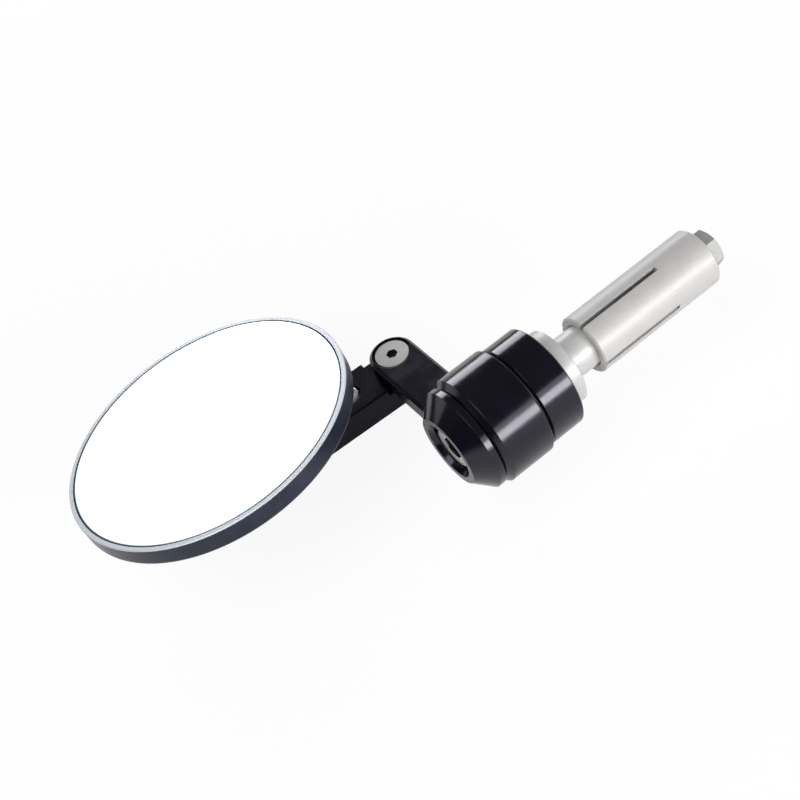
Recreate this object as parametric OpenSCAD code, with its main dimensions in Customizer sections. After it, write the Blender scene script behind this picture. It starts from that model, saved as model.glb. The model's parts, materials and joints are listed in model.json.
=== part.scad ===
// Motorcycle bar end mirror with a swivel ring, a folding stem and a ball-jointed round mirror.
// Millimetres. The origin is the middle of the collar face that seats on the end of the handlebar.
// +X runs along the bar into the handlebar, +Y along the arm, +Z up the fold pivot.

/* [Bar plug] */
// Diameter of the slotted expanding sleeve
sleeve_d = 17.2; // [16.6:0.1:18.4]
// Length of the sleeve
sleeve_len = 40.9; // [38:0.1:48]
// Length of neck showing between the collar and the sleeve
neck_gap = 8.5; // [6:0.1:12]
// Diameter of the neck
neck_d = 12.2; // [11.6:0.1:12.8]
// Length of the taper that spreads the sleeve
taper_len = 13.4; // [10:0.1:16]
// How much thinner in radius the taper is at its tip
taper_drop = 1.3; // [0.8:0.1:1.5]
// Thickness of the sleeve's end wall, where the nut pulls
sleeve_wall_end = 6; // [4:0.5:8]
// Lead-in at the sleeve's mouth
mouth_lead = 0.5; // [0.2:0.05:0.6]
// Chamfer on the sleeve's outer edges
sleeve_edge = 0.4; // [0.2:0.1:0.8]
// Number of slots
slot_count = 4; // [3:1:6]
// Width of a slot
slot_w = 1.4; // [0.8:0.1:1.8]
// Length of a slot from the mouth
slot_len = 26.1; // [24:0.1:32]
// Turn of the first slot from +Y
slot_turn = 9; // [0:1:45]

/* [Through bolt] */
// Thread diameter of the through bolt
bolt_d = 6; // [5:0.1:6.4]
// Diameter of its socket head
bolt_head_d = 12.8; // [11:0.1:13.2]
// Height of its socket head
bolt_head_h = 5.7; // [5:0.1:6.6]
// Key size of the socket, across flats
bolt_key = 6; // [5:0.5:6.5]
// Depth of the key socket
bolt_key_depth = 3; // [2:0.5:3.5]
// Turn of the bolt and its key socket as tightened
bolt_turn = -15; // [-30:1:30]
// Washer under the head: diameter
bolt_washer_d = 14; // [13.2:0.1:14.2]
// Washer under the head: thickness
bolt_washer_t = 0.9; // [0.5:0.1:1.4]
// Nut at the sleeve's end: across flats
nut_af = 10; // [9:0.5:12]
// Nut height
nut_h = 4.6; // [4:0.1:7]
// Turn of the nut as tightened
nut_turn = 30; // [0:1:59]
// Bolt showing past the nut
bolt_show = 1.2; // [0.8:0.1:4]
// Radial clearance round the bolt
bolt_clear = 0.25; // [0.1:0.05:0.4]

/* [Weight and end cap] */
// Diameter of the silver collar, the same as the bar
collar_d = 22; // [19:0.1:26]
// Length of the collar
collar_len = 4.6; // [3:0.1:8]
// Chamfer on the collar's edges
collar_edge = 0.3; // [0.1:0.05:0.6]
// Diameter of the weight
weight_d = 29.8; // [28:0.1:34]
// Length of the weight
weight_len = 10.2; // [6:0.1:16]
// Chamfer on the weight's edges
weight_edge = 0.4; // [0.2:0.1:0.8]
// Diameter of the shank inside the weight and the ring
shank_d = 16; // [15:0.1:17]
// Diameter of the end cap's band
cap_d = 29.8; // [28:0.1:34]
// Length of the band
cap_band = 2; // [1:0.1:4]
// Diameter of the cap's nose
cap_nose_d = 20.3; // [19:0.1:23]
// Chamfer at the band's edges
cap_edge = 0.25; // [0.1:0.05:0.5]
// Diameter of the cap's recess
recess_d = 14.8; // [14.4:0.1:15]
// Diameter of the recess at its flared mouth
mouth_d = 16.4; // [15.6:0.1:17]
// Depth of the flare
mouth_depth = 1.3; // [0.6:0.1:1.8]
// Depth of the recess
recess_depth = 8.1; // [7.6:0.1:8.6]
// Thickness of the cap's floor behind the recess
cap_floor = 2; // [1.5:0.1:3]
// Clearance of parts slid over one another
seat_clear = 0.05; // [0.02:0.01:0.1]

/* [Ring and arm] */
// Diameter of the swivel ring
ring_d = 31.7; // [30:0.1:36]
// Width of the swivel ring
ring_w = 14.75; // [14.4:0.05:18]
// Front chamfer of the ring
ring_chamfer = 1.65; // [0.8:0.05:2]
// Rear chamfer of the ring
ring_edge = 0.3; // [0.1:0.05:0.6]
// Wall of the plain bush that the ring turns on
bush_wall = 1.5; // [1:0.1:2.2]
// Thickness of the dark washer behind the ring
rear_washer_t = 0.75; // [0.6:0.05:1.5]
// Diameter of the washer behind the ring
rear_washer_d = 28.2; // [26:0.1:29]
// Thickness of the shim in front of the ring
front_washer_t = 0.2; // [0.2:0.05:0.6]
// Diameter of the shim in front of the ring
front_washer_d = 26.6; // [25:0.1:28]
// End play of the ring at each side
swivel_gap = 0.1; // [0.05:0.01:0.2]
// Running clearance of turning fits, in radius
run_clear = 0.05; // [0.02:0.01:0.1]
// Width of the arm
arm_w = 13.6; // [12.6:0.1:14.2]
// Thickness of the arm
arm_t = 5.6; // [5:0.1:7]
// Chamfer round the arm's top edge
arm_chamfer = 0.9; // [0.4:0.1:1.2]
// Distance of the fold pivot from the bar's axis
pivot_reach = 49.4; // [42:0.1:60]
// Fillet between the ring and the arm's top
arm_fillet = 4; // [2:0.5:8]

/* [Fold pivot] */
// Thread diameter of the pivot screw
pivot_d = 5; // [4:0.1:5.4]
// Diameter of its countersunk head
pivot_head_d = 10; // [9.4:0.1:10.6]
// Straight land at the head's edge
pivot_land = 0.4; // [0.2:0.1:0.6]
// Key size of the head, across flats
pivot_key = 3; // [2.5:0.5:4]
// Turn of the pivot screw as tightened
pivot_turn = 30; // [0:1:59]
// Depth of its key socket
pivot_key_depth = 1.8; // [1:0.1:2.2]
// Depth of the head below the arm's top
pivot_sink = 0.4; // [0.1:0.1:0.8]
// Diameter of the counterbore round the head
pivot_rim_d = 11.5; // [11:0.1:11.8]
// Washer between the arm and the stem: diameter
pivot_washer_d = 11; // [9:0.1:12.6]
// Washer between the arm and the stem: thickness
pivot_washer_t = 0.5; // [0.3:0.1:1]
// Free height between the washer and the tongue
fold_gap = 0.2; // [0.1:0.05:0.3]
// Lock nut under the tongue: across flats
pivot_nut_af = 8; // [7:0.5:9]
// Height of the lock nut
pivot_nut_h = 4; // [3:0.1:5]
// Screw showing past the lock nut
pivot_show = 0.8; // [0.3:0.1:2]

/* [Stem] */
// Width of the stem
stem_w = 15; // [13:0.1:15.4]
// Height of the stem's block
stem_t = 8.9; // [8.2:0.1:9.4]
// Height of the tongue under the arm
tongue_t = 6.8; // [5:0.1:7]
// Distance from the pivot to the step of the block
step_reach = 7.8; // [7.7:0.1:12]
// Distance from the pivot to the ball
stem_reach = 54.5; // [50:0.1:64]
// Turn of the stem from square to the arm
stem_turn = -3; // [-10:0.5:2]
// How far the eye stands off the stem's middle, towards the bar
eye_shift = 2.9; // [0:0.1:3.2]
// Chamfer on the stem's long edges
stem_edge = 0.4; // [0.2:0.1:0.8]
// Diameter of the eye round the ball
eye_d = 21; // [19.5:0.1:24]
// Width of the clamp strap let into the underside
strap_w = 8; // [7:0.1:9]
// Thickness of the clamp strap
strap_t = 2.6; // [2.2:0.1:3]
// Diameter of the strap's round end under the ball
strap_eye_d = 16.4; // [15.6:0.1:17]
// Gap between the strap and its channel
strap_gap = 0.1; // [0.05:0.05:0.2]
// Distance from the pivot to the front clamp screw
front_screw_reach = 16.8; // [15.5:0.1:22]
// Distance from the ball to the rear clamp screw
rear_screw_back = 15; // [13.5:0.1:18]
// Length of strap past the front clamp screw
strap_over = 4; // [3.2:0.1:5]
// Thread diameter of the clamp screws
clamp_d = 4; // [3:0.1:4.6]
// Diameter of their round heads
clamp_head_d = 7.3; // [6.4:0.1:8]
// Height of their heads
clamp_head_h = 2.2; // [1.8:0.1:2.6]
// Key size of the clamp screws, across flats
clamp_key = 2.5; // [2:0.5:3]
// Depth of their key sockets
clamp_key_depth = 1.3; // [0.8:0.1:1.5]
// Chamfer round the mouth of a key socket
key_lead = 0.4; // [0.2:0.05:0.5]
// Radial gap between a clamp head and its counterbore
clamp_gap = 0.1; // [0.1:0.05:0.3]

/* [Ball joint] */
// Diameter of the ball
ball_d = 11; // [10.4:0.1:11.4]
// Wall of the liner round the ball
liner_wall = 0.9; // [0.7:0.05:1]
// Half angle of the liner's open ends
liner_open = 47; // [46:1:52]
// Half angle of the eye's flared mouth
mouth_angle = 50; // [48:1:54]
// Diameter of the stud's neck
stud_d = 4.4; // [3.6:0.1:4.6]
// Diameter of the stud's thread
stud_thread_d = 5; // [4:0.1:5.6]
// Length of thread in the mirror's boss
stud_bite = 5; // [3:0.1:5.6]
// Lock nut on the stud: across flats
stud_nut_af = 8; // [7.5:0.5:10]
// Height of the stud's lock nut
stud_nut_h = 2.7; // [2:0.1:3.5]

/* [Mirror] */
// Outside diameter of the mirror
mirror_d = 84; // [78:0.1:87]
// Thickness of the mirror at its rim
rim_t = 5.9; // [5.4:0.1:7]
// Width of the front bezel
bezel_w = 1.3; // [1:0.05:2.5]
// Chamfer on the bezel's outer edge
bezel_edge = 0.25; // [0.1:0.05:0.5]
// Rounding of the rim's rear edge
rim_round = 1.2; // [0.5:0.1:2]
// Thickness of the glass
glass_t = 2; // [1.5:0.1:2.4]
// Bevel on the glass's edge
glass_bevel = 0.25; // [0.1:0.05:0.4]
// Gap round the glass
glass_gap = 0.12; // [0.05:0.01:0.3]
// Depth of the glass below the bezel
glass_sink = 0.1; // [0:0.05:0.3]
// Thickness of the foam pad behind the glass
pad_t = 1; // [0.5:0.1:1.2]
// How far the pad stops short of the glass's edge
pad_inset = 1.2; // [0.5:0.1:4]
// Distance from the ball to the mirror's front face
mirror_stand = 25.4; // [25:0.1:30]
// Diameter of the boss on the mirror's back
boss_d = 18; // [14:0.5:24]
// Height of the boss
boss_h = 4; // [3:0.1:4.5]
// Fillet round the boss
boss_fillet = 2; // [1:0.5:4]
// Lean of the mirror about X
lean_x = -9.7; // [-14:0.1:14]
// Lean of the mirror about its own cross axis
lean_y = -2.8; // [-12:0.1:12]

/* [Hidden] */
$fn = 96;
cut = 1;

// Places along the bar, from the collar's face to the end cap's nose
x_collar = -collar_len;
x_weight = x_collar - weight_len;
x_ring_rear = x_weight - rear_washer_t - swivel_gap;
x_ring_front = x_ring_rear - ring_w;
x_shim = x_ring_front - swivel_gap;
x_cap = x_shim - front_washer_t;
cap_cone = (cap_d - cap_nose_d) / 2;
x_nose = x_cap - cap_band - cap_cone;
x_recess = x_nose + recess_depth;
x_boss = x_recess + cap_floor;
x_head_seat = x_recess - bolt_washer_t;
x_sleeve_end = neck_gap + sleeve_len;
x_bolt_end = x_sleeve_end + nut_h + bolt_show;

// Lead-in at the ends of the threads
thread_lead = 0.6;

// Radii that several pieces share
bolt_r = bolt_d / 2;
bolt_hole_r = bolt_r + bolt_clear;
shank_r = shank_d / 2;
bush_r = shank_r + bush_wall;
neck_r = neck_d / 2;
taper_r = neck_r - taper_drop;

// Arm, pivot and stem levels
arm_x = x_ring_front + arm_w / 2;
z_arm = -ring_d / 2;
z_arm_top = z_arm + arm_t;
pivot = [arm_x, pivot_reach, 0];
z_tongue = z_arm - pivot_washer_t - fold_gap;
z_stem = z_tongue - tongue_t;
z_stem_top = z_stem + stem_t;
pivot_r = pivot_d / 2;
pivot_head_r = pivot_head_d / 2;
z_pivot_head = z_arm_top - pivot_sink;
z_pivot_nut = z_stem - fold_gap;
pivot_cone = pivot_head_r - pivot_r;

// Ball joint and mirror
ball_r = ball_d / 2;
liner_in_r = ball_r + run_clear;
liner_out_r = liner_in_r + liner_wall;
socket_r = liner_out_r + run_clear;
ball_at = [
    arm_x - stem_reach * cos(stem_turn) - eye_shift * -sin(stem_turn),
    pivot_reach - stem_reach * sin(stem_turn) - eye_shift * cos(stem_turn),
    z_stem + stem_t / 2
];
mirror_r = mirror_d / 2;
pocket_r = mirror_r - bezel_w;
glass_r = pocket_r - glass_gap;
pad_r = glass_r - pad_inset;
h_back = mirror_stand - rim_t;
h_boss = h_back - boss_h;
h_glass_top = mirror_stand - glass_sink;
h_pad_top = h_glass_top - glass_t;
h_floor = h_pad_top - pad_t;

// A solid turned about the bar's axis, from [x, radius] points
module turned(points) {
    rotate([0, 90, 0])
        rotate_extrude()
            polygon([for (p = points) [p[1], p[0]]]);
}

// A round bar along X between two places
module bar_x(r, x0, x1) {
    translate([min(x0, x1), 0, 0])
        rotate([0, 90, 0])
            cylinder(r = r, h = abs(x1 - x0));
}

// A tube along X with small chamfers on its outer edges
module tube_x(r_out, r_in, x0, x1, edge) {
    turned([
        [x0, r_in], [x0, r_out - edge], [x0 + edge, r_out],
        [x1 - edge, r_out], [x1, r_out - edge], [x1, r_in]
    ]);
}

// A hexagonal prism standing on z = 0, measured across its flats
module hex_prism(af, h) {
    cylinder(d = af / cos(30), h = h, $fn = 6);
}

// A hex nut standing on z = 0, with its corners turned off at both ends
module hex_nut(af, h, hole_r) {
    corner_r = af / 2 / cos(30);
    turn_off = (corner_r - af / 2) / 2;
    difference() {
        intersection() {
            hex_prism(af, h);
            rotate_extrude()
                polygon([
                    [0, 0], [af / 2, 0], [corner_r, turn_off],
                    [corner_r, h - turn_off], [af / 2, h], [0, h]
                ]);
        }
        translate([0, 0, -cut])
            cylinder(r = hole_r, h = h + 2 * cut);
    }
}

// A flat bar's section with chamfered edges, as a 2-D shape from z0 to z1
module bar_section(w, z0, z1, low_edge, high_edge) {
    polygon([
        [-w / 2 + low_edge, z0], [w / 2 - low_edge, z0], [w / 2, z0 + low_edge],
        [w / 2, z1 - high_edge], [w / 2 - high_edge, z1],
        [-w / 2 + high_edge, z1], [-w / 2, z1 - high_edge], [-w / 2, z0 + low_edge]
    ]);
}

// The round end that matches such a bar
module bar_end(w, z0, z1, low_edge, high_edge) {
    rotate_extrude()
        intersection() {
            bar_section(w, z0, z1, low_edge, high_edge);
            translate([0, z0])
                square([w, z1 - z0]);
        }
}

// Slotted sleeve that the taper spreads inside the handlebar
module expander_sleeve() {
    x_taper_end = neck_gap + taper_len;
    bore_r = taper_r + seat_clear;
    color("gainsboro")
        difference() {
            turned([
                [neck_gap, neck_r + seat_clear + mouth_lead],
                [neck_gap, sleeve_d / 2 - sleeve_edge],
                [neck_gap + sleeve_edge, sleeve_d / 2],
                [x_sleeve_end - sleeve_edge, sleeve_d / 2],
                [x_sleeve_end, sleeve_d / 2 - sleeve_edge],
                [x_sleeve_end, bolt_hole_r],
                [x_sleeve_end - sleeve_wall_end, bolt_hole_r],
                [x_sleeve_end - sleeve_wall_end, bore_r],
                [x_taper_end, bore_r],
                [neck_gap + mouth_lead, neck_r + seat_clear]
            ]);
            for (i = [0 : slot_count - 1])
                rotate([slot_turn + i * 360 / slot_count, 0, 0])
                    translate([neck_gap - cut, 0, -slot_w / 2])
                        cube([slot_len + cut, sleeve_d, slot_w]);
        }
}

// Collar, neck and taper in one turned piece, with the shank that carries weight and ring
module spigot() {
    color("silver")
        turned([
            [x_boss, bolt_hole_r], [x_boss, shank_r],
            [x_collar, shank_r], [x_collar, collar_d / 2 - collar_edge],
            [x_collar + collar_edge, collar_d / 2], [-collar_edge, collar_d / 2],
            [0, collar_d / 2 - collar_edge], [0, neck_r],
            [neck_gap + mouth_lead, neck_r],
            [neck_gap + taper_len, taper_r], [neck_gap + taper_len, bolt_hole_r]
        ]);
}

// Black turned weight between the collar and the ring
module bar_weight() {
    color("#17171c")
        tube_x(weight_d / 2, shank_r + seat_clear, x_weight, x_collar, weight_edge);
}

// Black conical end cap with a deep recess for the bolt's head
module end_cap() {
    color("#17171c")
        turned([
            [x_nose, mouth_d / 2], [x_nose, cap_nose_d / 2],
            [x_nose + cap_cone, cap_d / 2], [x_cap - cap_edge, cap_d / 2],
            [x_cap, cap_d / 2 - cap_edge], [x_cap, shank_r], [x_boss, shank_r],
            [x_boss, bolt_hole_r], [x_recess, bolt_hole_r], [x_recess, recess_d / 2],
            [x_nose + mouth_depth, recess_d / 2]
        ]);
}

// Socket-head bolt right through the cap, the spigot and the sleeve
module clamp_bolt() {
    head_edge = bolt_head_d / 20;
    x_head = x_head_seat - bolt_head_h;
    color("lightgray")
        difference() {
            turned([
                [x_head, 0], [x_head, bolt_head_d / 2 - head_edge],
                [x_head + head_edge, bolt_head_d / 2], [x_head_seat, bolt_head_d / 2],
                [x_head_seat, bolt_r], [x_bolt_end - thread_lead, bolt_r],
                [x_bolt_end, bolt_r - thread_lead], [x_bolt_end, 0]
            ]);
            translate([x_head - cut, 0, 0])
                rotate([bolt_turn, 0, 0])
                    rotate([0, 90, 0])
                        hex_prism(bolt_key, bolt_key_depth + cut);
        }
}

// Washer under the bolt's head
module bolt_washer() {
    color("lightgray")
        tube_x(bolt_washer_d / 2, bolt_hole_r, x_head_seat, x_recess, bolt_washer_t / 5);
}

// Nut that draws the sleeve on to the taper
module expander_nut() {
    color("lightgray")
        translate([x_sleeve_end, 0, 0])
            rotate([nut_turn, 0, 0])
                rotate([0, 90, 0])
                    hex_nut(nut_af, nut_h, bolt_r + seat_clear);
}

// Plain bush that the ring turns on
module swivel_bush() {
    color("ivory")
        tube_x(bush_r, shank_r + seat_clear, x_cap, x_weight, seat_clear);
}

// Dark washer in the groove behind the ring
module rear_washer() {
    color("#0c0c0e")
        tube_x(
            rear_washer_d / 2, bush_r + seat_clear,
            x_weight - rear_washer_t, x_weight, rear_washer_t / 4
        );
}

// Thin shim in front of the ring
module front_shim() {
    color("#0c0c0e")
        tube_x(front_washer_d / 2, bush_r + seat_clear, x_cap, x_shim, front_washer_t / 4);
}

// Corner fillet between the ring's outside and the arm's top, swept across the arm
module ring_fillet() {
    fillet_z = z_arm_top + arm_fillet;
    fillet_y = sqrt(pow(ring_d / 2 + arm_fillet, 2) - pow(fillet_z, 2));
    translate([x_ring_front + arm_chamfer, 0, 0])
        rotate([90, 0, 90])
            linear_extrude(arm_w - 2 * arm_chamfer)
                difference() {
                    polygon([
                        [0, 0], [0, z_arm_top - cut],
                        [fillet_y, z_arm_top - cut], [fillet_y, fillet_z]
                    ]);
                    translate([fillet_y, fillet_z])
                        circle(r = arm_fillet);
                }
}

// Swivel ring and arm machined in one piece
module arm_ring() {
    ring_r = ring_d / 2;
    color("#1b1b22")
        difference() {
            union() {
                turned([
                    [x_ring_front, bush_r], [x_ring_front, ring_r - ring_chamfer],
                    [x_ring_front + ring_chamfer, ring_r], [x_ring_rear - ring_edge, ring_r],
                    [x_ring_rear, ring_r - ring_edge], [x_ring_rear, bush_r]
                ]);
                translate([arm_x, pivot_reach, 0])
                    rotate([90, 0, 0])
                        linear_extrude(pivot_reach)
                            bar_section(arm_w, z_arm, z_arm_top, 0, arm_chamfer);
                translate(pivot)
                    bar_end(arm_w, z_arm, z_arm_top, 0, arm_chamfer);
                ring_fillet();
            }
            bar_x(bush_r + run_clear, x_ring_front - cut, x_ring_rear + cut);
            translate(pivot)
                pivot_hole();
        }
}

// Counterbore, countersink and hole for the pivot screw
module pivot_hole() {
    z_floor = z_pivot_head - pivot_land;
    translate([0, 0, z_floor])
        cylinder(d = pivot_rim_d, h = pivot_sink + pivot_land + cut);
    translate([0, 0, z_floor - pivot_cone - seat_clear])
        cylinder(r1 = pivot_r, r2 = pivot_head_r + seat_clear, h = pivot_cone + seat_clear);
    translate([0, 0, z_arm - cut])
        cylinder(r = pivot_r + seat_clear, h = arm_t);
}

// Countersunk hex-socket screw that the stem folds on
module pivot_screw() {
    z_end = z_pivot_nut - pivot_nut_h - pivot_show;
    color("lightgray")
        translate(pivot)
            difference() {
                rotate_extrude()
                    polygon([
                        [0, z_end], [pivot_r - thread_lead, z_end], [pivot_r, z_end + thread_lead],
                        [pivot_r, z_pivot_head - pivot_land - pivot_cone],
                        [pivot_head_r, z_pivot_head - pivot_land],
                        [pivot_head_r, z_pivot_head], [0, z_pivot_head]
                    ]);
                translate([0, 0, z_pivot_head - pivot_key_depth])
                    rotate([0, 0, pivot_turn])
                        hex_prism(pivot_key, pivot_key_depth + cut);
            }
}

// Washer between the arm and the stem's tongue
module pivot_washer() {
    color("#0c0c0e")
        translate([arm_x, pivot_reach, z_arm - pivot_washer_t])
            difference() {
                cylinder(d = pivot_washer_d, h = pivot_washer_t);
                translate([0, 0, -cut])
                    cylinder(r = pivot_r + seat_clear, h = pivot_washer_t + 2 * cut);
            }
}

// Lock nut under the tongue
module pivot_nut() {
    color("dimgray")
        translate([arm_x, pivot_reach, z_pivot_nut - pivot_nut_h])
            hex_nut(pivot_nut_af, pivot_nut_h, pivot_r + seat_clear);
}

// Reach of the rear clamp screw from the pivot
rear_screw_reach = stem_reach - rear_screw_back;

// Puts a piece of the stem at the pivot, turned as the stem is, with +X towards the ball
module on_stem() {
    translate([arm_x, pivot_reach, 0])
        rotate([0, 0, stem_turn + 180])
            children();
}

// The strap's outline: a round-ended bar with a disc under the ball, grown by a gap
module strap_outline(gap) {
    strap_start = front_screw_reach - strap_over + strap_w / 2;
    translate([strap_start, 0])
        circle(d = strap_w + 2 * gap);
    translate([strap_start, -strap_w / 2 - gap])
        square([stem_reach - strap_start, strap_w + 2 * gap]);
    translate([stem_reach, eye_shift])
        circle(d = strap_eye_d + 2 * gap);
}

// Round socket for the liner, with flared mouths above and below
module socket_cut() {
    flare = stem_t;
    translate(ball_at) {
        sphere(r = socket_r);
        for (side = [0, 180])
            rotate([side, 0, 0])
                cylinder(r1 = 0, r2 = flare * tan(mouth_angle), h = flare);
    }
}

// Folding stem: tongue under the arm, block, and the eye that holds the ball
module mirror_stem() {
    block_len = stem_reach - step_reach;
    color("#1b1b22")
        difference() {
            on_stem()
                difference() {
                    union() {
                        bar_end(stem_w, z_stem, z_tongue, stem_edge, 0);
                        rotate([90, 0, 90])
                            linear_extrude(step_reach + cut)
                                bar_section(stem_w, z_stem, z_tongue, stem_edge, 0);
                        translate([step_reach, 0, 0])
                            rotate([90, 0, 90])
                                linear_extrude(block_len)
                                    bar_section(stem_w, z_stem, z_stem_top, stem_edge, stem_edge);
                        translate([stem_reach, eye_shift, 0])
                            bar_end(eye_d, z_stem, z_stem_top, stem_edge, stem_edge);
                    }
                    translate([0, 0, z_stem - cut])
                        cylinder(r = pivot_r + run_clear, h = tongue_t + 2 * cut);
                    translate([0, 0, z_stem - cut])
                        linear_extrude(strap_t + cut)
                            strap_outline(strap_gap);
                    for (reach = [front_screw_reach, rear_screw_reach])
                        translate([reach, 0, 0])
                            clamp_screw_hole();
                }
            socket_cut();
        }
}

// Counterbore and hole for a clamp screw
module clamp_screw_hole() {
    translate([0, 0, z_stem])
        cylinder(r = clamp_d / 2 + seat_clear, h = stem_t + cut);
    translate([0, 0, z_stem_top - clamp_head_h])
        cylinder(r = clamp_head_d / 2 + clamp_gap, h = clamp_head_h + cut);
}

// Strap let into the stem's underside that closes the socket under the ball
module clamp_strap() {
    color("#17171c")
        difference() {
            on_stem()
                translate([0, 0, z_stem])
                    linear_extrude(strap_t)
                        difference() {
                            strap_outline(0);
                            for (reach = [front_screw_reach, rear_screw_reach])
                                translate([reach, 0])
                                    circle(r = clamp_d / 2 + seat_clear);
                        }
            socket_cut();
        }
}

// Round-headed hex-socket screw that closes the strap
module clamp_screw(reach) {
    z_seat = z_stem_top - clamp_head_h;
    head_r = clamp_head_d / 2;
    dome = clamp_head_h / 3;
    color("lightgray")
        on_stem()
            translate([reach, 0, 0])
                difference() {
                    rotate_extrude()
                        polygon([
                            [0, z_stem], [clamp_d / 2, z_stem],
                            [clamp_d / 2, z_seat], [head_r, z_seat],
                            [head_r, z_stem_top - dome],
                            [head_r - dome, z_stem_top], [0, z_stem_top]
                        ]);
                    translate([0, 0, z_stem_top - clamp_key_depth])
                        hex_prism(clamp_key, clamp_key_depth + cut);
                    translate([0, 0, z_stem_top - key_lead])
                        cylinder(r1 = clamp_key / 2, r2 = clamp_key / 2 + 2 * key_lead, h = 2 * key_lead);
                }
}

module front_clamp_screw() {
    clamp_screw(front_screw_reach);
}

module rear_clamp_screw() {
    clamp_screw(rear_screw_reach);
}

// Split cup between the ball and the socket, open at both ends
module ball_liner() {
    reach = liner_out_r * 2;
    color("ivory")
        translate(ball_at)
            rotate([lean_x, 0, 0])
                difference() {
                    sphere(r = liner_out_r);
                    sphere(r = liner_in_r);
                    for (side = [0, 180])
                        rotate([side, 0, 0])
                            cylinder(r1 = 0, r2 = reach * tan(liner_open), h = reach);
                }
}

// Puts a piece of the mirror at the ball, leaned as the mirror is
module on_ball() {
    translate(ball_at)
        rotate([lean_x, 0, 0])
            rotate([0, lean_y, 0])
                children();
}

// Ball with its neck and the thread that goes into the mirror's boss
module ball_stud() {
    color("silver")
        on_ball() {
            sphere(r = ball_r);
            cylinder(d = stud_d, h = h_boss - stud_nut_h);
            translate([0, 0, h_boss - stud_nut_h - stud_d / 4])
                cylinder(d = stud_thread_d, h = stud_nut_h + stud_d / 4 + stud_bite);
        }
}

// Lock nut against the boss
module stud_nut() {
    color("dimgray")
        on_ball()
            translate([0, 0, h_boss - stud_nut_h])
                hex_nut(stud_nut_af, stud_nut_h, stud_thread_d / 2 + seat_clear);
}

// Dished round housing with a narrow bezel and a boss on its back
module mirror_shell() {
    boss_r = boss_d / 2;
    color("#2a3140")
        on_ball()
            difference() {
                rotate_extrude()
                    difference() {
                        union() {
                            polygon([
                                [0, h_back], [mirror_r - rim_round, h_back], [mirror_r, h_back + rim_round],
                                [mirror_r, mirror_stand - bezel_edge], [mirror_r - bezel_edge, mirror_stand],
                                [pocket_r, mirror_stand], [pocket_r, h_floor], [0, h_floor]
                            ]);
                            intersection() {
                                translate([mirror_r - rim_round, h_back + rim_round])
                                    circle(r = rim_round);
                                translate([mirror_r - rim_round, h_back])
                                    square(rim_round);
                            }
                            polygon([
                                [0, h_boss], [boss_r, h_boss], [boss_r, h_back - boss_fillet],
                                [boss_r + boss_fillet, h_back], [0, h_back]
                            ]);
                        }
                        translate([boss_r + boss_fillet, h_back - boss_fillet])
                            circle(r = boss_fillet);
                    }
                translate([0, 0, h_boss - cut])
                    cylinder(r = stud_thread_d / 2 + seat_clear, h = stud_bite + seat_clear + cut);
            }
}

// Foam pad that the glass is stuck to
module glass_pad() {
    color("#202024")
        on_ball()
            translate([0, 0, h_floor])
                cylinder(r = pad_r, h = pad_t);
}

// Flat round mirror glass with a ground edge
module mirror_glass() {
    color("aliceblue")
        on_ball()
            rotate_extrude()
                polygon([
                    [0, h_pad_top], [glass_r, h_pad_top], [glass_r, h_glass_top - glass_bevel],
                    [glass_r - glass_bevel, h_glass_top], [0, h_glass_top]
                ]);
}

expander_sleeve();
spigot();
bar_weight();
end_cap();
clamp_bolt();
bolt_washer();
expander_nut();
swivel_bush();
rear_washer();
front_shim();
arm_ring();
pivot_screw();
pivot_washer();
pivot_nut();
mirror_stem();
clamp_strap();
front_clamp_screw();
rear_clamp_screw();
ball_liner();
ball_stud();
stud_nut();
mirror_shell();
glass_pad();
mirror_glass();
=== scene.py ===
"""Looks, light and camera for the bar end mirror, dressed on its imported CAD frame."""
import json
import math

import bmesh
import bpy
from mathutils import Matrix, Vector


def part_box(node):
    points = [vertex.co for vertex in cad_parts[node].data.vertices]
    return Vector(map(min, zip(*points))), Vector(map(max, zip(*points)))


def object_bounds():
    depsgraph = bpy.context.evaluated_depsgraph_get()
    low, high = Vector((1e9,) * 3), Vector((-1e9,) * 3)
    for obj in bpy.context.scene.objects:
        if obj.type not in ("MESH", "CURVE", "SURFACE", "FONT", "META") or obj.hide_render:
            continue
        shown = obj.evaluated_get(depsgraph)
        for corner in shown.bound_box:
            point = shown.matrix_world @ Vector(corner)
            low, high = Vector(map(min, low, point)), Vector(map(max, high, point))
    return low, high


MM = 0.001
SKY = Vector((0, 0, 1))
BAR = Vector((1, 0, 0))

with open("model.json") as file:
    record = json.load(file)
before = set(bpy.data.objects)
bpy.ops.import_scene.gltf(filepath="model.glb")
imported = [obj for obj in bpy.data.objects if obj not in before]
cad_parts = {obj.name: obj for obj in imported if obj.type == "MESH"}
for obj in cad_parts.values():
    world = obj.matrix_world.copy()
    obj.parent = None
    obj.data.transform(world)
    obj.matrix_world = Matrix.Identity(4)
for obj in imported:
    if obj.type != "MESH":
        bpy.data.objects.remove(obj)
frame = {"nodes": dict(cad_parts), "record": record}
cad_lo, cad_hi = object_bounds()
scene = bpy.context.scene
slots = {row["node"]: row["material_slot"] for row in frame["record"]["subparts"]}

# The mirror's place and lean, for the line round its glass and the bezel
glass_lo, glass_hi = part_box("mirror_glass")
GLASS_MID = (glass_lo + glass_hi) / 2
LEAN_X, LEAN_Y = math.radians(-9.7), math.radians(-2.8)
MIRROR_TURN = Matrix.Rotation(LEAN_X, 3, "X") @ Matrix.Rotation(LEAN_Y, 3, "Y")
MIRROR_AXIS = MIRROR_TURN @ SKY
GLASS_R = 40.58 * MM
TEAL_W = 0.6 * MM
TEAL_BLUR = 0.8
BEZEL_HEIGHT = 0.85 * MM

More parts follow.
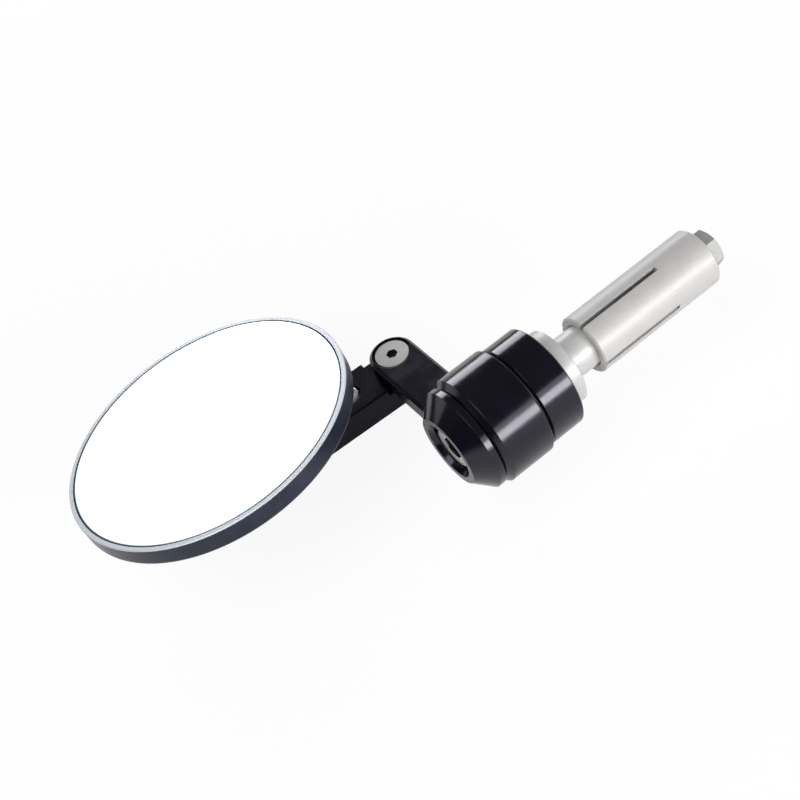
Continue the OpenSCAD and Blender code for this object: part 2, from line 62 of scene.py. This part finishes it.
# Other sizes that the looks need
ARM_R = 15.9 * MM
THREAD_R = 3.2 * MM
THREAD_PITCH = 1.0 * MM
BOLT_KEY_R = 3.5 * MM
PIVOT_KEY_R = 1.8 * MM
CLAMP_KEY_R = 1.5 * MM
KEY_SHADOW = 0.06 * MM

# Part of the noise range that is spread over a finish, for one noise and for the sum of two
ONE = (0.35, 0.65)
TONE = (0.36, 0.64)
HAZE = (0.3, 0.7)
SUM = (0.75, 1.25)
WIDE_SUM = (0.7, 1.3)

# Noise scales, in cycles a metre, and how much the radius counts in turned lines
TOOL_LINES = 9000
BROAD_LINES = TOOL_LINES / 14
BLAST_GRAIN = 5200
STEEL_GRAIN = 2600
FACE_SHARE = 1.31


def rgb(r, g, b):
    return (r, g, b, 1.0)


def grey(v, warm=0.0):
    return rgb(v * (1 + warm), v, v * (1 - warm))


# Colours that are used by name
ARM_BLACK = (rgb(0.0026, 0.0021, 0.0052), rgb(0.0042, 0.0035, 0.0082))
BLACK = (rgb(0.0026, 0.0021, 0.0050), rgb(0.0042, 0.0035, 0.0076))
BLACK_TINT = rgb(0.90, 0.88, 1.0)
ARM_TINT = rgb(0.80, 0.76, 1.0)
BLACK_IOR = 1.46
STEM_IOR = 1.32
NAVY = (rgb(0.011, 0.015, 0.029), rgb(0.017, 0.022, 0.040))
BEZEL_SILVER = rgb(0.60, 0.63, 0.68)
SILVERED = (rgb(0.90, 0.93, 0.95), rgb(0.93, 0.955, 0.97))
TEAL = rgb(0.085, 0.135, 0.160)
# Dark brown painted shade for the inside of the screws' key sockets
SOCKET_SHADE = rgb(0.040, 0.026, 0.024)
BRIGHT = (grey(0.68, 0.008), grey(0.74, 0.008))
CARD_BLACK = rgb(0.02, 0.02, 0.02)
FLOOR_WHITE = rgb(0.96, 0.96, 0.96)

# The floor's own glow: its share for the camera, and in reflections close by and far off
FLOOR_R = 4.0
GLOW_SEEN = 0.90
GLOW_NEAR, GLOW_FAR = 0.22, 0.95
NEAR, FAR = 0.10, 0.45

# The sky's strength low and high, and the heights between which it changes
HORIZON, ZENITH = 1.0, 0.13
RISE = (0.16, 0.46)


class Nodes:
    """One procedural material, built up node by node."""

    def __init__(self, name):
        self.mat = bpy.data.materials.new(name)
        self.mat.use_nodes = True
        self.tree = self.mat.node_tree
        self.shader = self.tree.nodes["Principled BSDF"]

    def add(self, kind, **settings):
        node = self.tree.nodes.new(kind)
        for key, value in settings.items():
            setattr(node, key, value)
        return node

    def join(self, source, target):
        self.tree.links.new(source, target)

    def put(self, socket, value):
        """Set a socket to a number, a colour or another node's output."""
        if isinstance(value, (int, float, tuple, Vector)):
            socket.default_value = value
        else:
            self.join(value, socket)

    def look(self, **values):
        """Set the shader's sockets by name, with _ for a space."""
        for key, value in values.items():
            self.put(self.shader.inputs[key.replace("_", " ")], value)

    def math(self, operation, a, b=0.0):
        node = self.add("ShaderNodeMath", operation=operation)
        self.put(node.inputs[0], a)
        self.put(node.inputs[1], b)
        return node.outputs[0]

    def vector_math(self, operation, a, b=None):
        node = self.add("ShaderNodeVectorMath", operation=operation)
        self.put(node.inputs[0], a)
        if b is not None:
            self.put(node.inputs[1], b)
        return node

    def place(self):
        return self.add("ShaderNodeTexCoord").outputs["Object"]

    def split(self, vector):
        node = self.add("ShaderNodeSeparateXYZ")
        self.join(vector, node.inputs[0])
        return node.outputs

    def noise(self, vector, scale, detail=2.0, rough=0.5):
        node = self.add("ShaderNodeTexNoise")
        self.put(node.inputs["Scale"], scale)
        self.put(node.inputs["Detail"], detail)
        self.put(node.inputs["Roughness"], rough)
        self.join(vector, node.inputs["Vector"])
        return node.outputs["Fac"]

    def noise_line(self, w, scale, detail=3.0, rough=0.6):
        node = self.add("ShaderNodeTexNoise", noise_dimensions="1D")
        self.put(node.inputs["Scale"], scale)
        self.put(node.inputs["Detail"], detail)
        self.put(node.inputs["Roughness"], rough)
        self.join(w, node.inputs["W"])
        return node.outputs["Fac"]

    def spread(self, value, span, out=(0, 1)):
        """Stretch the span of a value over another span."""
        node = self.add("ShaderNodeMapRange")
        for socket, number in zip(node.inputs[1:5], (*span, *out)):
            self.put(socket, number)
        self.join(value, node.inputs[0])
        return node.outputs[0]

    def blend(self, fac, a, b):
        """A colour between two others."""
        node = self.add("ShaderNodeMix", data_type="RGBA")
        self.put(node.inputs[0], fac)
        self.put(node.inputs[6], a)
        self.put(node.inputs[7], b)
        return node.outputs[2]

    def choose(self, fac, a, b):
        """A number between two others."""
        node = self.add("ShaderNodeMix", data_type="FLOAT")
        self.put(node.inputs[0], fac)
        self.put(node.inputs[2], a)
        self.put(node.inputs[3], b)
        return node.outputs[0]

    def radius_x(self, parts):
        """Distance from the bar's axis."""
        return self.math("SQRT", self.math("ADD", self.math("MULTIPLY", parts[1], parts[1]),
                                           self.math("MULTIPLY", parts[2], parts[2])))

    def off_axis(self, vector, centre, axis):
        """Distance from a line through centre, and height along it."""
        rel = self.vector_math("SUBTRACT", vector, centre).outputs[0]
        height = self.vector_math("DOT_PRODUCT", rel, axis).outputs["Value"]
        cross = self.vector_math("CROSS_PRODUCT", rel, axis).outputs[0]
        return self.vector_math("LENGTH", cross).outputs["Value"], height

    def bump(self, height, depth, edge=0.0):
        """Relief of a depth in metres, with the edges rounded by a radius in metres."""
        node = self.add("ShaderNodeBump")
        self.put(node.inputs["Strength"], 1.0)
        self.put(node.inputs["Distance"], depth)
        self.join(height, node.inputs["Height"])
        if edge:
            bevel = self.add("ShaderNodeBevel", samples=6)
            self.put(bevel.inputs["Radius"], edge)
            self.join(bevel.outputs[0], node.inputs["Normal"])
        self.join(node.outputs[0], self.shader.inputs["Normal"])


def turned_metal(name, tones, metallic, rough, ior=1.5, depth=0.012, tint=None):
    """Metal turned about the bar's axis, with its fine tool lines."""
    m = Nodes(name)
    vector = m.place()
    parts = m.split(vector)
    along = m.math("ADD", parts[0], m.math("MULTIPLY", m.radius_x(parts), FACE_SHARE))
    lines = m.noise_line(along, TOOL_LINES)
    broad = m.noise_line(along, BROAD_LINES, 1.0)
    cloud = m.noise(vector, 260, 3.0)
    tone = m.math("ADD", m.math("MULTIPLY", lines, 0.5), m.math("MULTIPLY", cloud, 0.5))
    m.look(Base_Color=m.blend(m.spread(tone, TONE), *tones),
           Roughness=m.spread(m.math("ADD", broad, cloud), WIDE_SUM, rough),
           Metallic=metallic, IOR=ior)
    if tint:
        m.look(Specular_Tint=tint)
    m.bump(lines, depth * MM, 0.15 * MM)
    return m.mat


def drawn_metal(name, tones, metallic, rough):
    """Drawn tube with fine streaks along the bar and a soft polish over them."""
    m = Nodes(name)
    vector = m.place()
    parts = m.split(vector)
    turn = m.math("ARCTAN2", parts[2], parts[1])
    streaks = m.noise_line(m.math("ADD", turn, m.math("MULTIPLY", parts[0], 1.2)), 26, 5.0, 0.75)
    cloud = m.noise(vector, 220, 3.0)
    tone = m.math("ADD", m.math("MULTIPLY", streaks, 0.7), m.math("MULTIPLY", cloud, 0.3))
    m.look(Base_Color=m.blend(m.spread(tone, TONE), *tones),
           Roughness=m.spread(m.math("ADD", streaks, cloud), WIDE_SUM, rough),
           Metallic=metallic, Coat_Weight=0.12, Coat_Roughness=0.15)
    m.bump(streaks, 0.03 * MM, 0.15 * MM)
    return m.mat


def blasted_metal(name, tones, metallic, rough, ior=1.5, grain=BLAST_GRAIN, depth=0.01, edge=0.2, tint=None):
    """Metal with a fine even blasted grain, as under anodising."""
    m = Nodes(name)
    vector = m.place()
    fine = m.noise(vector, grain, 3.0, 0.6)
    cloud = m.noise(vector, 120, 2.0)
    m.look(Base_Color=m.blend(m.spread(cloud, ONE), *tones),
           Roughness=m.spread(m.math("ADD", fine, cloud), SUM, rough),
           Metallic=metallic, IOR=ior)
    if tint:
        m.look(Specular_Tint=tint)
    m.bump(fine, depth * MM, edge * MM)
    return m.mat


def arm_metal():
    """Black anodised ring and arm: turned lines on the ring, a fine grain on the arm."""
    m = Nodes("black_arm_finish")
    vector = m.place()
    parts = m.split(vector)
    radius = m.radius_x(parts)
    on_arm = m.math("GREATER_THAN", radius, ARM_R)
    along = m.math("ADD", parts[0], m.math("MULTIPLY", radius, FACE_SHARE))
    lines = m.noise_line(along, TOOL_LINES)
    fine = m.noise(vector, BLAST_GRAIN, 3.0, 0.6)
    cloud = m.noise(vector, 140, 2.0)
    ring_rough = m.spread(cloud, ONE, (0.13, 0.18))
    arm_rough = m.spread(cloud, ONE, (0.22, 0.30))
    m.look(Base_Color=m.blend(m.spread(cloud, ONE), *ARM_BLACK),
           Roughness=m.choose(on_arm, ring_rough, arm_rough),
           IOR=BLACK_IOR, Specular_Tint=m.blend(on_arm, BLACK_TINT, ARM_TINT))
    m.bump(m.choose(on_arm, lines, fine), 0.01 * MM, 0.25 * MM)
    return m.mat


def socket_steel(name, node, axis, key_r, metallic, thread=0.0, edge=0.08):
    """Bright steel screw along an axis: its key socket painted dark brown as shade in the recess, and a
    rolled thread if it has one.
    """
    m = Nodes(name)
    vector = m.place()
    lo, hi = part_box(node)
    face = abs((hi - lo).dot(axis)) / 2
    radial, height = m.off_axis(vector, (lo + hi) / 2, axis)
    inside = m.math("LESS_THAN", radial, key_r)
    below = m.math("LESS_THAN", height, face - KEY_SHADOW)
    fine = m.noise(vector, STEEL_GRAIN, 3.0, 0.6)
    cloud = m.noise(vector, 380, 2.0)
    steel = m.blend(m.spread(cloud, (0.30, 0.70)), *BRIGHT)
    # Inside the key socket, below its face, the colour is painted dark brown as shade in the recess
    m.look(Base_Color=m.blend(m.math("MULTIPLY", inside, below), steel, SOCKET_SHADE),
           Roughness=m.spread(m.math("ADD", fine, cloud), SUM, (0.20, 0.27)),
           Metallic=metallic)
    relief, depth = fine, 0.01 * MM
    if thread:
        parts = m.split(vector)
        turn = m.math("DIVIDE", m.math("ARCTAN2", parts[2], parts[1]), 2 * math.pi)
        phase = m.math("FRACT", m.math("ADD", m.math("DIVIDE", parts[0], thread), turn))
        shank = m.math("LESS_THAN", radial, THREAD_R)
        relief = m.math("MULTIPLY", m.math("PINGPONG", phase, 0.5), shank)
        depth = thread
    m.bump(relief, depth, edge * MM)
    return m.mat


def housing_metal():
    """Navy-black satin housing with a bright cut bezel."""
    m = Nodes("housing_finish")
    vector = m.place()
    radial, height = m.off_axis(vector, GLASS_MID, MIRROR_AXIS)
    front = m.math("GREATER_THAN", height, BEZEL_HEIGHT)
    outer = m.math("GREATER_THAN", radial, GLASS_R)
    bezel = m.math("MULTIPLY", front, outer)
    cloud = m.noise(vector, 160, 3.0)
    body = m.blend(m.spread(cloud, ONE), *NAVY)
    m.look(Base_Color=m.blend(bezel, body, BEZEL_SILVER),
           Metallic=m.choose(bezel, 0.35, 0.3),
           Roughness=m.choose(bezel, m.spread(cloud, ONE, (0.30, 0.38)), 0.50))
    m.bump(cloud, 0.002 * MM)
    return m.mat


def mirror_metal():
    """Silvered glass whose ground edge shows as a thin teal line."""
    m = Nodes("mirror_glass_finish")
    vector = m.place()
    radial, height = m.off_axis(vector, GLASS_MID, MIRROR_AXIS)
    edge = m.spread(radial, (GLASS_R - TEAL_W, GLASS_R - TEAL_BLUR * TEAL_W))
    haze = m.noise(vector, 90, 2.0)
    face = m.blend(m.spread(haze, HAZE), *SILVERED)
    m.look(Base_Color=m.blend(edge, face, TEAL), Metallic=1.0,
           Roughness=m.choose(edge, m.spread(haze, HAZE, (0.015, 0.03)), 0.3))
    return m.mat


def polymer(name, tones, rough):
    """Matt moulded or stamped polymer."""
    m = Nodes(name)
    vector = m.place()
    fine = m.noise(vector, 3500, 3.0)
    cloud = m.noise(vector, 300, 2.0)
    m.look(Base_Color=m.blend(m.spread(cloud, ONE), *tones), Roughness=m.spread(fine, HAZE, rough))
    m.bump(fine, 0.02 * MM)
    return m.mat


def foam():
    """Closed-cell foam."""
    m = Nodes("foam_finish")
    cells = m.add("ShaderNodeTexVoronoi")
    m.put(cells.inputs["Scale"], 3500)
    m.join(m.place(), cells.inputs["Vector"])
    distance = cells.outputs["Distance"]
    m.look(Base_Color=m.blend(m.spread(distance, (0, 0.6)), grey(0.010), grey(0.026)), Roughness=0.9)
    m.bump(distance, 0.1 * MM)
    return m.mat


finishes = {
    "sleeve_aluminium": drawn_metal(
        "sleeve_finish", (grey(0.40, 0.018), grey(0.48, 0.018)), metallic=0.10, rough=(0.44, 0.52)),
    "silver_aluminium": turned_metal(
        "silver_finish", (grey(0.46, 0.012), grey(0.53, 0.012)), metallic=0.15, rough=(0.36, 0.44)),
    "black_turned": turned_metal(
        "black_turned_finish", BLACK, metallic=0.0, rough=(0.10, 0.15),
        ior=BLACK_IOR, depth=0.008, tint=BLACK_TINT),
    "black_ring": arm_metal(),
    "black_stem": blasted_metal(
        "black_stem_finish", BLACK, metallic=0.0, rough=(0.22, 0.30), ior=STEM_IOR, tint=ARM_TINT),
    "bright_steel": blasted_metal(
        "steel_finish", (grey(0.64, 0.01), grey(0.70, 0.01)), metallic=0.40, rough=(0.22, 0.28), edge=0.05),
    "dark_steel": blasted_metal(
        "dark_steel_finish", (grey(0.10), grey(0.14)), metallic=0.8, rough=(0.3, 0.4), grain=STEEL_GRAIN),
    "ball_steel": blasted_metal(
        "ball_finish", (grey(0.5), grey(0.58)), metallic=1.0, rough=(0.12, 0.2),
        grain=STEEL_GRAIN, depth=0.004),
    "dark_polymer": polymer(
        "dark_polymer_finish", (grey(0.008), grey(0.014)), rough=(0.45, 0.6)),
    "pale_polymer": polymer(
        "pale_polymer_finish", (rgb(0.70, 0.67, 0.59), rgb(0.77, 0.74, 0.66)), rough=(0.4, 0.5)),
    "housing_blue_black": housing_metal(),
    "foam": foam(),
    "mirror_glass": mirror_metal(),
}
screws = {
    "expander_nut": blasted_metal(
        "expander_nut_finish", (grey(0.27, 0.02), grey(0.33, 0.02)), metallic=0.2, rough=(0.46, 0.54),
        edge=0.05),
    "clamp_bolt": socket_steel(
        "clamp_bolt_finish", "clamp_bolt", -BAR, BOLT_KEY_R, metallic=0.6, thread=THREAD_PITCH),
    "pivot_screw": socket_steel(
        "pivot_screw_finish", "pivot_screw", SKY, PIVOT_KEY_R, metallic=0.2),
    "front_clamp_screw": socket_steel(
        "front_clamp_finish", "front_clamp_screw", SKY, CLAMP_KEY_R, metallic=1.0, edge=0.35),
    "rear_clamp_screw": socket_steel(
        "rear_clamp_finish", "rear_clamp_screw", SKY, CLAMP_KEY_R, metallic=1.0, edge=0.35),
}
for name, obj in frame["nodes"].items():
    obj.data.materials.clear()
    obj.data.materials.append(screws.get(name) or finishes[slots[name]])


def make_floor(z, radius):
    """A pale round sheet that keeps the shadow and looks white to the camera and in far reflections."""
    sheet = bmesh.new()
    bmesh.ops.create_circle(sheet, cap_ends=True, radius=radius, segments=96)
    mesh = bpy.data.meshes.new("floor")
    sheet.to_mesh(mesh)
    sheet.free()
    floor = bpy.data.objects.new("floor", mesh)
    floor.location = (0, 0, z)
    scene.collection.objects.link(floor)
    m = Nodes("floor_finish")
    path = m.add("ShaderNodeLightPath").outputs
    seen = m.math("MAXIMUM", path["Is Camera Ray"], path["Is Glossy Ray"])
    glow = m.add("ShaderNodeEmission")
    m.put(glow.inputs["Strength"], m.math("MAXIMUM", seen, path["Is Transmission Ray"]))
    matt = m.add("ShaderNodeBsdfDiffuse")
    m.put(matt.inputs["Color"], FLOOR_WHITE)
    reach = m.vector_math("LENGTH", m.place()).outputs["Value"]
    mirrored = m.spread(reach, (NEAR, FAR), (GLOW_NEAR, GLOW_FAR))
    mix = m.add("ShaderNodeMixShader")
    m.put(mix.inputs[0], m.spread(path["Is Camera Ray"], (0, 1), (mirrored, GLOW_SEEN)))
    m.join(matt.outputs[0], mix.inputs[1])
    m.join(glow.outputs[0], mix.inputs[2])
    m.join(mix.outputs[0], m.tree.nodes["Material Output"].inputs["Surface"])
    m.tree.nodes.remove(m.shader)
    mesh.materials.append(m.mat)


def soft_lamp(name, direction, distance, size, radiance, colour=(1.0, 1.0, 1.0)):
    """A rectangular softbox of a given brightness, facing the object."""
    lamp = bpy.data.lights.new(name, "AREA")
    lamp.color = colour
    lamp.shape = "RECTANGLE"
    lamp.size, lamp.size_y = size
    lamp.energy = radiance * math.pi * size[0] * size[1]
    obj = bpy.data.objects.new(name, lamp)
    aim = Vector(direction).normalized()
    obj.location = aim * distance
    obj.rotation_mode = "QUATERNION"
    obj.rotation_quaternion = aim.to_track_quat("Z", "Y")
    obj.visible_camera = False
    scene.collection.objects.link(obj)


def black_card(name, middle, turn, length, height):
    """An upright black card that shows in reflections only: it darkens them on its side."""
    card = bmesh.new()
    y, z = length / 2, height / 2
    card.faces.new([card.verts.new(c) for c in ((0, -y, -z), (0, y, -z), (0, y, z), (0, -y, z))])
    mesh = bpy.data.meshes.new(name)
    card.to_mesh(mesh)
    card.free()
    obj = bpy.data.objects.new(name, mesh)
    obj.location = middle
    obj.rotation_euler.z = turn
    scene.collection.objects.link(obj)
    m = Nodes(name + "_finish")
    m.look(Base_Color=CARD_BLACK, Roughness=0.9)
    mesh.materials.append(m.mat)
    obj.visible_camera = False
    obj.visible_diffuse = False
    obj.visible_shadow = False


make_floor(cad_lo.z - 0.1 * MM, FLOOR_R)

# Lamps: direction from the origin, distance, width and height in metres, brightness (1 as the white
# background), and a colour if it isn't white
soft_lamp("front_strip", (0.32, -0.88, 0.232), 0.7, (0.50, 0.18), 11.8)
soft_lamp("front_fill", (0.32, -0.88, 0.29), 0.72, (0.60, 0.38), 2.7)
soft_lamp("back_strip", (0.30, 0.92, 0.285), 0.8, (0.46, 0.31), 6.0, (0.96, 0.95, 1.0))
soft_lamp("mirror_softbox", (-0.035, 0.905, 0.424), 0.95, (0.42, 0.32), 1.15)
soft_lamp("top_softbox", (-0.55, -0.12, 0.82), 0.8, (0.60, 0.60), 3.1)
black_card("side_card", Vector((-0.34, -0.03, cad_lo.z + 0.07)), 0.0, length=0.62, height=0.20)
black_card("back_card", Vector((0.17, 0.42, cad_lo.z + 0.036)), math.radians(90), length=0.7, height=0.072)

# The sky: white round the horizon, darker overhead
world = bpy.data.worlds.new("studio")
scene.world = world
world.use_nodes = True
sky = world.node_tree
coords = sky.nodes.new("ShaderNodeTexCoord")
axes = sky.nodes.new("ShaderNodeSeparateXYZ")
ramp = sky.nodes.new("ShaderNodeMapRange")
ramp.interpolation_type = "SMOOTHSTEP"
for socket, number in zip(ramp.inputs[1:5], (*RISE, HORIZON, ZENITH)):
    socket.default_value = number
sky.links.new(coords.outputs["Generated"], axes.inputs[0])
sky.links.new(axes.outputs[2], ramp.inputs[0])
sky.links.new(ramp.outputs[0], sky.nodes["Background"].inputs["Strength"])
sky.nodes["Background"].inputs["Color"].default_value = rgb(1, 1, 1)

# The camera, where the photograph was taken from
CAMERA_PLACE = Vector((-116.957, -213.808, 265.278)) * MM
CAMERA_RIGHT = Vector((0.774994, -0.569929, -0.273067))
CAMERA_UP = Vector((0.591482, 0.501970, 0.631011))
CAMERA_BACK = Vector((-0.222560, -0.650544, 0.726127))
camera = bpy.data.objects.new("camera", bpy.data.cameras.new("camera"))
camera.data.lens = 62.054
camera.data.sensor_width = 36
camera.data.clip_start = 0.01
camera.data.clip_end = 20
turn = Matrix((CAMERA_RIGHT, CAMERA_UP, CAMERA_BACK)).transposed()
camera.matrix_world = Matrix.Translation(CAMERA_PLACE) @ turn.to_4x4()
scene.collection.objects.link(camera)
scene.camera = camera
scene.view_settings.view_transform = "Standard"
